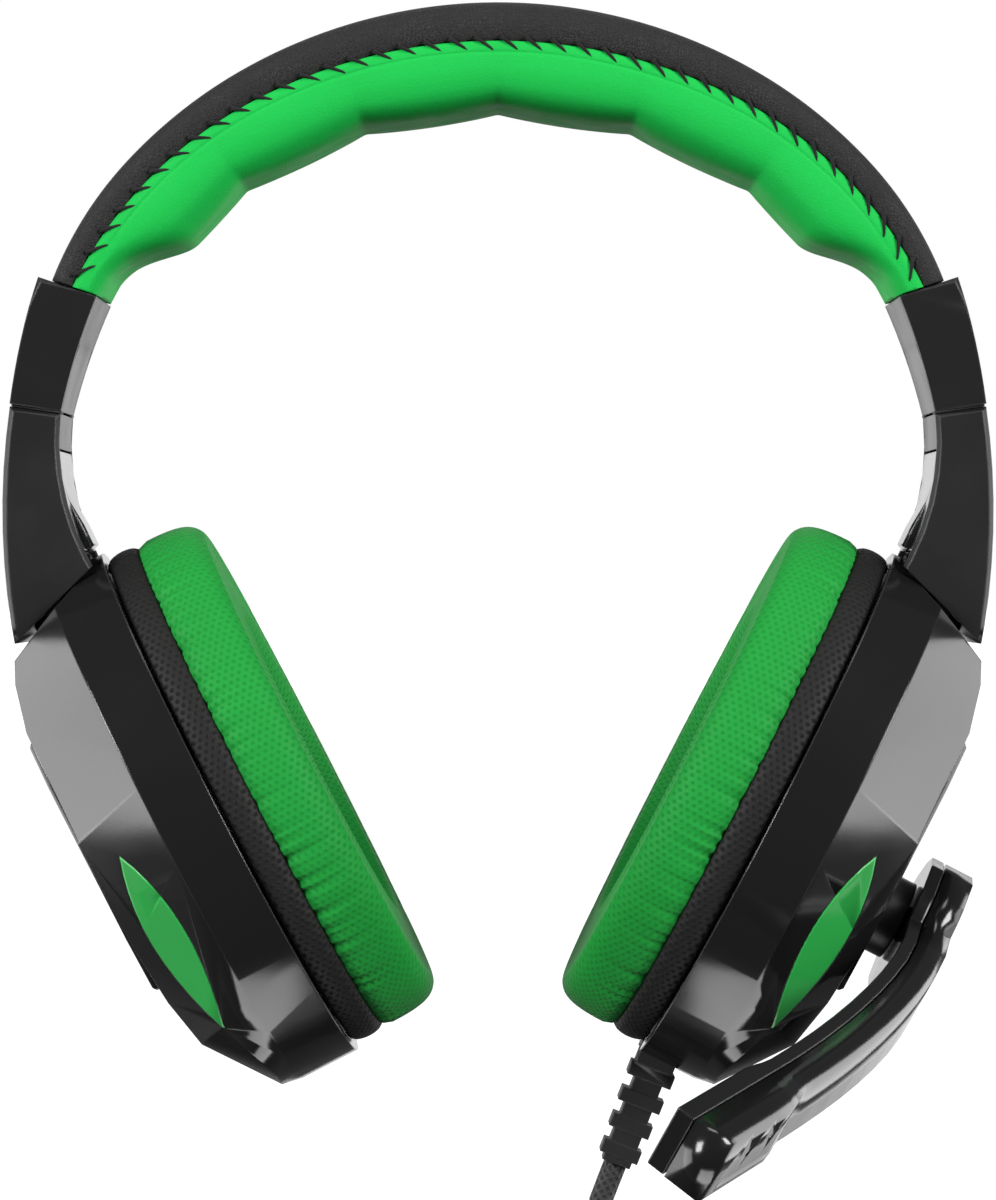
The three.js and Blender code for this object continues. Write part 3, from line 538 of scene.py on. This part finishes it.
# The point and outward normal of an arch at a signed distance along it from the top, in millimetres.
def arch(curve, distance):
    left, angle = abs(distance), 0.0
    arcs = curve["arcs"]
    centre = Vector((0, 0, curve["apex"] - arcs[0][0]))
    for i, (radius, end) in enumerate(arcs):
        room = (math.radians(end) - angle) * radius
        last = i == len(arcs) - 1
        turned = angle + left / radius if left <= room or last else math.radians(end)
        normal = Vector((math.sin(turned), 0, math.cos(turned)))
        if left <= room or last:
            break
        centre += normal * (radius - arcs[i + 1][0])
        left -= room
        angle = turned
    point = centre + normal * radius
    flip = -1 if distance < 0 else 1
    return Vector((point.x * flip, 0, point.z)), Vector((normal.x * flip, 0, normal.z))


# The arcs of an arch: centre, radius and end angle.
def arcs_of(curve):
    centre, found = Vector((0, 0, curve["apex"] - curve["arcs"][0][0])), []
    for i, (radius, end) in enumerate(curve["arcs"]):
        turned = math.radians(end)
        found.append((centre.copy(), radius, turned))
        if i + 1 < len(curve["arcs"]):
            centre += Vector((math.sin(turned), 0, math.cos(turned))) * (radius - curve["arcs"][i + 1][0])
    return found


BAND_ARCS = arcs_of(BAND)


# Height of the cover above the seam, along the seam's own normal.
def cover_height(distance):
    point, normal = arch(SEAM, abs(distance))
    for centre, radius, end in BAND_ARCS:
        offset = point - centre
        near = offset.dot(normal)
        height = -near + math.sqrt(near * near - offset.dot(offset) + radius * radius)
        hit = offset + normal * height
        if math.atan2(hit.x, hit.z) <= end:
            break
    return height


# Depth of the pad below the seam, thinner towards the housings, and how far it is puffed there.
def pad_depth(distance):
    wave = (math.sin(math.pi * distance / TACK_PITCH) ** 2 + 0.004) ** 0.36
    taper = smoothstep(abs(distance), 74, 92)
    return (PAD_DEPTH + PAD_PUFF * wave) * (1 - taper) + PAD_END_DEPTH * taper, wave * (1 - taper)


# Half of a section from the seam to the middle: (share of the half width, share of the depth).
# The near rows lie at given distances from the seam, which shrink where the section is thin.
def section(near, depth, power):
    scale = min(1, 0.6 * depth / near[-1])
    rises = [r * scale / depth for r in near]
    half = [((1 - rise ** (2 / power)) ** (power / 2), rise) for rise in rises]
    start = math.asin(rises[-1] ** (1 / power))
    for k in range(1, 10):
        angle = start + (math.pi / 2 - start) * (k / 9) ** 0.85
        half.append((max(math.cos(angle), 0) ** power, math.sin(angle) ** power))
    return half


# A point and the normal of the plane on a housing's top, where the cover and the pad end.
def housing_top(sign):
    centre = Vector((SLIDE_CENTRE.x * sign, 0, SLIDE_CENTRE.z)) * MM
    return centre, Vector((-math.sin(HOUSING_TOP) * sign, 0, math.cos(HOUSING_TOP)))


def trim_ends(thing):
    mesh = bmesh.new()
    mesh.from_mesh(thing.data)
    for sign in (1, -1):
        centre, way = housing_top(sign)
        everything = [*mesh.verts, *mesh.edges, *mesh.faces]
        place = centre + way * 0.3 * MM
        cut = bmesh.ops.bisect_plane(mesh, geom=everything, plane_co=place, plane_no=way, clear_inner=True)
        edges = [e for e in cut["geom_cut"] if isinstance(e, bmesh.types.BMEdge)]
        bmesh.ops.contextual_create(mesh, geom=edges)
    bmesh.ops.recalc_face_normals(mesh, faces=mesh.faces)
    mesh.to_mesh(thing.data)
    mesh.free()


# Both halves of a section as one row, from the seam in front to the seam behind.
def both_halves(half):
    return [(-1, *place) for place in half] + [(1, *place) for place in half[::-1][1:]]


# A closed skin over the rows of sections, as one piece on the headband.
def band_piece(name, rows, made):
    points = [p for row in rows for p in row]
    thing = piece(name, points, grid_faces(len(rows), len(rows[0]), True, False), made, "headband")
    trim_ends(thing)
    return thing


def build_cover():
    near = [0, 0.15, 0.4, 0.8, 1.4, 2.2, 3.2]
    rows = []
    for distance in STATIONS:
        point, normal = arch(SEAM, distance)
        height = cover_height(distance)
        scallop = SCALLOP * math.cos(2 * math.pi * distance / STITCH_PITCH)
        loop = []
        for side, share, rise in both_halves(section(near, height, COVER_POWER)):
            r = 0.1 + (height - 0.1) * rise
            rolled = COVER_ROLL * math.exp(-r / COVER_ROLL_REACH)
            r += scallop * math.exp(-r / SCALLOP_REACH)
            swell = COVER_SWELL * math.sin(math.pi * min(r / height, 1))
            y = side * (HALF_WIDTH * share + swell - rolled * (share > 0.9))
            loop.append((point + normal * r + Vector((0, y, 0))) * MM)
        rows.append(loop)
    made = band_piece("band_cover", rows, COVER)
    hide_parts("headband_cover")


# Half the pad's width at a distance r below the seam.
def pad_half_width(share, depth, r, wave):
    dent = GROOVE_DENT * math.exp(-(((r - GROOVE) / GROOVE_REACH) ** 2))
    dent += PAD_ROLL * math.exp(-r / PAD_ROLL_REACH)
    bulge = PAD_BULGE * wave * math.sin(math.pi * min(r / depth, 1)) + PAD_SWELL
    return HALF_WIDTH * share - dent * (share > 0.8) + bulge * share


def build_pad():
    near = [0, 0.2, 0.5, 0.9, 1.4, 1.75, 1.95, 2.1, 2.25, 2.45, 2.9, 3.7, 4.8, 6]
    rows = []
    for distance in STATIONS:
        point, normal = arch(SEAM, distance)
        depth, wave = pad_depth(distance)
        loop = []
        for side, share, fall in both_halves(section(near, max(depth, PAD_FULL_DEPTH), PAD_POWER)):
            r = depth * fall
            y = side * pad_half_width(share, depth, r, wave)
            loop.append((point - normal * (r - 0.05) + Vector((0, y, 0))) * MM)
        rows.append(loop)
    made = band_piece("band_pad", rows, PAD)
    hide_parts("headband_pad")


# Whip stitches over the seam, all slanted the same way along the band.
def build_stitches():
    points, faces, sides = [], [], 6
    for face_side in (-1, 1):
        for i in range(-24, 24):
            middle = (i + 0.5) * STITCH_PITCH
            line = []
            for k in range(7):
                part = k / 6
                r = 0.85 - 2.85 * part
                point, normal = arch(SEAM, middle - STITCH_LEAN + 2 * STITCH_LEAN * part)
                lift = 0.12 + 0.12 * math.sin(math.pi * part) - 0.3 * (k == 6)
                if r < -0.2:
                    lift -= 0.1
                place = point + normal * r + Vector((0, face_side * (HALF_WIDTH + lift), 0))
                line.append(place * MM)
            centre, way = housing_top(1 if line[0].x > 0 else -1)
            if min((p - centre).dot(way) for p in line) < 1.6 * MM:
                continue
            start = len(points)
            widths = [THREAD_RADIUS * MM * (1.25 - 0.11 * k) for k in range(7)]
            points += tube_points(line, widths, sides)
            faces += tube_faces(7, sides, start)
    piece("band_stitches", points, faces, THREAD, "headband")


build_cover()
build_pad()
build_stitches()

# ---- ear cushions, in millimetres, from the cup's lean and centre ----

LEAN = math.radians(27.2)
CUP = Vector((50.8, 0, -131))
OUTLINE = (51.5, 41.0)
HOLE = (29.0, 20.0)
SEAM_DEPTH, FACE_DEPTH = 6.4, 19.8
CLOTH_HALF_WIDTH, CLOTH_HALF_HEIGHT = 19.3, 28.3
CELL = 1.2
GATHERS = 118
BUN_COLUMNS, BAND_COLUMNS = 264, 396


# From depth towards the ear, y across and s up the cup, to the shared frame in metres.
def from_cup(sign, depth, y, s):
    x = CUP.x - math.cos(LEAN) * depth + math.sin(LEAN) * s
    z = CUP.z + math.sin(LEAN) * depth + math.cos(LEAN) * s
    return Vector((sign * x, y, z)) * MM


def to_cup(sign, point):
    x, z = sign * point.x / MM - CUP.x, point.z / MM - CUP.z
    return -(x * math.cos(LEAN) - z * math.sin(LEAN)), point.y / MM, x * math.sin(LEAN) + z * math.cos(LEAN)


# A ring with a closed section of (share, depth); the share goes from -1 at the hole to 1 at the outline.
def ring_piece(name, sign, loop, columns, made, body, shrink=0.0):
    points = []
    for share, depth in loop:
        for j in range(columns):
            angle = 2 * math.pi * j / columns
            out = (1 + share * (1 - shrink)) / 2
            high = HOLE[0] + (OUTLINE[0] - HOLE[0]) * out
            wide = HOLE[1] + (OUTLINE[1] - HOLE[1]) * out
            points.append(from_cup(sign, depth, wide * math.cos(angle), high * math.sin(angle)))
    faces = grid_faces(len(loop), columns, True, True)
    if sign < 0:
        faces = [f[::-1] for f in faces]
    return piece(name, points, faces, made, body)


# A section that is flat at its low side and domed above it, squarer the lower the power.
def pillow_loop(low, high, power, steps):
    loop = []
    for k in range(steps + 1):
        angle = math.pi * k / steps
        share = math.copysign(abs(math.cos(angle)) ** power, math.cos(angle))
        loop.append((share, low + (high - low) * max(math.sin(angle), 0) ** power))
    for k in range(1, 6):
        share = -1 + 2 * k / 6
        loop.append((share * 0.96, low))
    return loop


# Pressure puffs the cover up from its pinned backing; no point moves further than a given length.
def puff(thing, pinned, most, pressure=4.0):
    rest = [v.co.copy() for v in thing.data.vertices]
    group = thing.vertex_groups.new(name="seam")
    group.add(pinned, 1.0, "REPLACE")
    cloth = thing.modifiers.new("Cloth", "CLOTH")
    settings = cloth.settings
    settings.quality = 6
    settings.mass = 0.3
    settings.tension_stiffness = settings.compression_stiffness = 15
    settings.bending_stiffness = 0.6
    settings.use_pressure = True
    settings.uniform_pressure_force = pressure
    settings.vertex_group_mass = "seam"
    settings.effector_weights.gravity = 0
    cloth.point_cache.frame_end = 20
    for number in range(1, 21):
        scene.frame_set(number)
    seen = thing.evaluated_get(bpy.context.evaluated_depsgraph_get())
    moved = [v.co.copy() for v in seen.data.vertices]
    thing.modifiers.remove(cloth)
    scene.frame_set(1)
    for vertex, old, new in zip(thing.data.vertices, rest, moved):
        step = new - old
        if step.length > most:
            step *= most / step.length
        vertex.co = old + step


def refine(thing, levels):
    modifier = thing.modifiers.new("Subdivision", "SUBSURF")
    modifier.levels = modifier.render_levels = levels
    seen = thing.evaluated_get(bpy.context.evaluated_depsgraph_get())
    data = bpy.data.meshes.new_from_object(seen)
    thing.modifiers.clear()
    thing.vertex_groups.clear()
    thing.data = data


# An ellipse's length round it, and the share of that length up to each angle.
def ellipse_length(a, b):
    return math.pi * (3 * (a + b) - math.sqrt((3 * a + b) * (a + 3 * b)))


ANGLES = np.linspace(0, 2 * math.pi, 721)
STRETCH = np.cumsum(np.hypot(OUTLINE[1] * np.sin(ANGLES), OUTLINE[0] * np.cos(ANGLES))) - OUTLINE[0]
STRETCH = STRETCH / STRETCH[-1]


def share_round(y, s):
    return np.interp(math.atan2(s / OUTLINE[0], y / OUTLINE[1]) % (2 * math.pi), ANGLES, STRETCH)


# Two maps for the mesh's cells, round the wall and flat over the face, and how much each point faces the ear.
def weave_maps(thing, sign):
    data = thing.data
    wall, face = data.uv_layers.new(name="wall"), data.uv_layers.new(name="face")
    facing = data.attributes.new("facing", "FLOAT", "POINT")
    count = 2 * round(ellipse_length(*OUTLINE) / CELL / 2)
    local = [to_cup(sign, v.co) for v in data.vertices]
    around = [share_round(y, s) for _, y, s in local]
    ear = Vector((-sign * math.cos(LEAN), 0, math.sin(LEAN)))
    for vertex in data.vertices:
        facing.data[vertex.index].value = smoothstep(vertex.normal.dot(ear), 0.55, 0.95)
    for polygon in data.polygons:
        shares = [around[v] for v in polygon.vertices]
        wraps = max(shares) - min(shares) > 0.5
        for loop, vertex, share in zip(polygon.loop_indices, polygon.vertices, shares):
            depth, y, s = local[vertex]
            wall.data[loop].uv = ((share + (wraps and share < 0.5)) * count, depth / CELL)
            face.data[loop].uv = (s / CELL, y / CELL)


# Small gathers where the cover is sewn: uneven notches that die away from the seam.
def gather(thing, sign, seam_depth, reach, height, seed):
    rng = np.random.default_rng(seed)
    around = np.linspace(-math.pi, math.pi, 2881)
    notch = np.zeros(len(around))
    for k in range(GATHERS):
        place = -math.pi + 2 * math.pi * (k + rng.uniform(-0.4, 0.4)) / GATHERS
        away = (around - place + math.pi) % (2 * math.pi) - math.pi
        deep = rng.uniform(0.2, 1.0) ** 2
        notch += deep * np.exp(-((away / rng.uniform(0.008, 0.016)) ** 2))
    for vertex in thing.data.vertices:
        depth, y, s = to_cup(sign, vertex.co)
        away = abs(depth - seam_depth) / reach
        if away > 4 or math.hypot(y / OUTLINE[1], s / OUTLINE[0]) < 0.8:
            continue
        pinch = np.interp(math.atan2(s / OUTLINE[0], y / OUTLINE[1]), around, notch)
        pull = height * (0.35 - pinch) * math.exp(-away) - 0.35 * math.exp(-away * 3)
        vertex.co = from_cup(sign, depth, y * (1 + pull / OUTLINE[1]), s * (1 + pull / OUTLINE[0]))


def build_cushions():
    for side, sign in SIDES:
        body = "cup_" + side
        loop = pillow_loop(SEAM_DEPTH - 0.5, FACE_DEPTH - 0.3, 0.46, 28)
        name = "ear_cushion_" + side
        bun = ring_piece(name, sign, loop, BUN_COLUMNS, MESH_GREEN, body, shrink=0.03)
        backing = [i for i, p in enumerate(bun.data.vertices) if to_cup(sign, p.co)[0] < SEAM_DEPTH + 0.8]
        puff(bun, backing, 1.2 * MM)
        refine(bun, 1)
        gather(bun, sign, SEAM_DEPTH - 0.2, 3.6, 1.5, 3 + sign)
        bun.data.update()
        weave_maps(bun, sign)
        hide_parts("cushion_" + side)

        wall = []
        for k in range(15):
            depth = 0.35 + (SEAM_DEPTH - 0.35) * k / 14
            wall.append((0.94 + 0.07 * math.sin(math.pi * min(k / 14 * 1.05, 1)) ** 0.6, depth))
        inside = [(-0.93, SEAM_DEPTH * k / 6 + 0.35 * (k == 0)) for k in range(6, -1, -1)]
        name = "ear_band_" + side
        band = ring_piece(name, sign, wall + inside, BAND_COLUMNS, MESH_BLACK, body)
        gather(band, sign, SEAM_DEPTH, 1.6, 0.4, 9 + sign)
        band.data.update()
        weave_maps(band, sign)
        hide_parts("cushion_band_" + side)


# Cloth over the speaker: an oval with a slight sag, hemmed by the cushion.
def build_scrims():
    for side, sign in SIDES:
        rings, columns = 14, 64
        points = [from_cup(sign, 0.9, 0, 0)]
        for i in range(1, rings + 1):
            share = i / rings
            sag = 0.25 * (1 - share * share)
            for j in range(columns):
                angle = 2 * math.pi * j / columns
                y = CLOTH_HALF_WIDTH * share * math.cos(angle)
                s = CLOTH_HALF_HEIGHT * share * math.sin(angle)
                points.append(from_cup(sign, 1.2 - sag, y, s))
        faces = [(0, 1 + j, 1 + (j + 1) % columns) for j in range(columns)]
        faces += grid_faces(rings, columns, True, False, 1)
        if sign > 0:
            faces = [f[::-1] for f in faces]
        made = piece("ear_cloth_" + side, points, faces, MESH_BLACK, "cup_" + side)
        weave_maps(made, sign)
        for value in made.data.attributes["facing"].data:
            value.value = 1.0
        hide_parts("ear_scrim_" + side)


build_cushions()
build_scrims()

# ---- hard parts: smooth where the surface curves, a small bevel on real edges ----

# Points within one step are the same point, and shorter edges than the least get no bevel.
STEPS_PER_METRE = 2e5
LEAST_EDGE = 0.8 * MM


# Marks the edges folded by more than an angle as sharp, and bevels them by a width in millimetres.
def crisp(thing, angle, width):
    data = thing.data
    for name in ("custom_normal", "sharp_face"):
        if name in data.attributes:
            data.attributes.remove(data.attributes[name])
    place = [tuple(round(c * STEPS_PER_METRE) for c in v.co) for v in data.vertices]
    meetings = {}
    for polygon in data.polygons:
        for a, b in polygon.edge_keys:
            meetings.setdefault(frozenset((place[a], place[b])), []).append(polygon.normal.copy())
    limit = math.cos(math.radians(angle))
    sharp, weight = [], []
    for edge in data.edges:
        a, b = edge.vertices
        normals = meetings.get(frozenset((place[a], place[b])), [])
        folded = len(normals) == 2 and normals[0].dot(normals[1]) < limit
        long_enough = (data.vertices[a].co - data.vertices[b].co).length > LEAST_EDGE
        sharp.append(folded)
        weight.append(1.0 if folded and long_enough else 0.0)
    data.attributes.new("sharp_edge", "BOOLEAN", "EDGE").data.foreach_set("value", sharp)
    data.attributes.new("bevel_weight_edge", "FLOAT", "EDGE").data.foreach_set("value", weight)
    data.update()
    weld = thing.modifiers.new("Weld", "WELD")
    weld.merge_threshold = 0.005 * MM
    if width:
        flat = thing.modifiers.new("Flat faces", "DECIMATE")
        flat.decimate_type = "DISSOLVE"
        flat.angle_limit = math.radians(0.6)
        flat.delimit = {"SHARP"}
        bevel = thing.modifiers.new("Bevel", "BEVEL")
        bevel.limit_method = "WEIGHT"
        bevel.width = width * MM
        bevel.segments = 2
        bevel.harden_normals = True
        bevel.use_clamp_overlap = True


# The start of a node's name, and its material, sharp angle in degrees and bevel in millimetres.
FINISH = {
    "housing": (SATIN, 20, 0.35), "arm_outer": (SATIN, 20, 0.35), "arm_inner_upper": (SATIN, 20, 0.2),
    "arm_inner_lower": (GLOSS, 20, 0.2), "cup_shell": (GLOSS, 14, 0.35), "cup_cover": (GLOSS, 20, 0.3),
    "cup_insert": (INLAY, 45, 0.4), "speaker": (SATIN, 25, 0), "mic_pivot": (SATIN, 25, 0.2),
    "mic_boom_outer": (GLOSS, 25, 0), "mic_boom_inner": (GLOSS, 25, 0.35),
    "mic_element": (NICKEL, 25, 0), "strain_relief": (RUBBER, 25, 0.3),
    "slider_strip": (STEEL, 25, 0.1), "detent_spring": (STEEL, 25, 0), "tilt_pin": (STEEL, 40, 0),
    "headband_spring": (STEEL, 25, 0), "headband_lead": (RUBBER, 60, 0), "coil_tie": (RUBBER, 25, 0.2),
    "plug_body": (RUBBER, 40, 0.3), "plug_pin": (NICKEL, 40, 0.1),
}


def finish_hard_parts():
    for name, thing in nodes.items():
        rule = next((FINISH[key] for key in FINISH if name.startswith(key)), None)
        if rule is None:
            continue
        made, angle, width = rule
        thing.data.materials.clear()
        thing.data.materials.append(made)
        for polygon in thing.data.polygons:
            polygon.use_smooth = True
            polygon.material_index = 0
        crisp(thing, angle, width)


finish_hard_parts()


# The lips' reach across, in and out from the slide's centre, and round it.
LIP_ACROSS = ((-15.0, -9.8), (9.8, 15.0))
LIP_RADII = (127.6, 137.0)
LIP_DEGREES = (8.22, 8.38)


# Dark plates that fill the slit between each housing and its arm, beside the sliding strip: a painted shadow
# standing in for the shade inside the slit.
def build_seam_shadow_plates():
    box_faces = [(0, 1, 3, 2), (4, 6, 7, 5), (0, 4, 5, 1), (2, 3, 7, 6), (0, 2, 6, 4), (1, 5, 7, 3)]
    for side, sign in SIDES:
        points, faces = [], []
        for near, far in LIP_ACROSS:
            start = len(points)
            for radius in LIP_RADII:
                for degrees in LIP_DEGREES:
                    angle = math.radians(degrees)
                    x = (SLIDE_CENTRE.x + radius * math.cos(angle)) * sign
                    z = SLIDE_CENTRE.z + radius * math.sin(angle)
                    points += [Vector((x, y, z)) * MM for y in (near, far)]
            faces += [tuple(start + v for v in face) for face in box_faces]
        piece("seam_shadow_" + side, points, faces, RUBBER, "headband", smooth=False)


build_seam_shadow_plates()
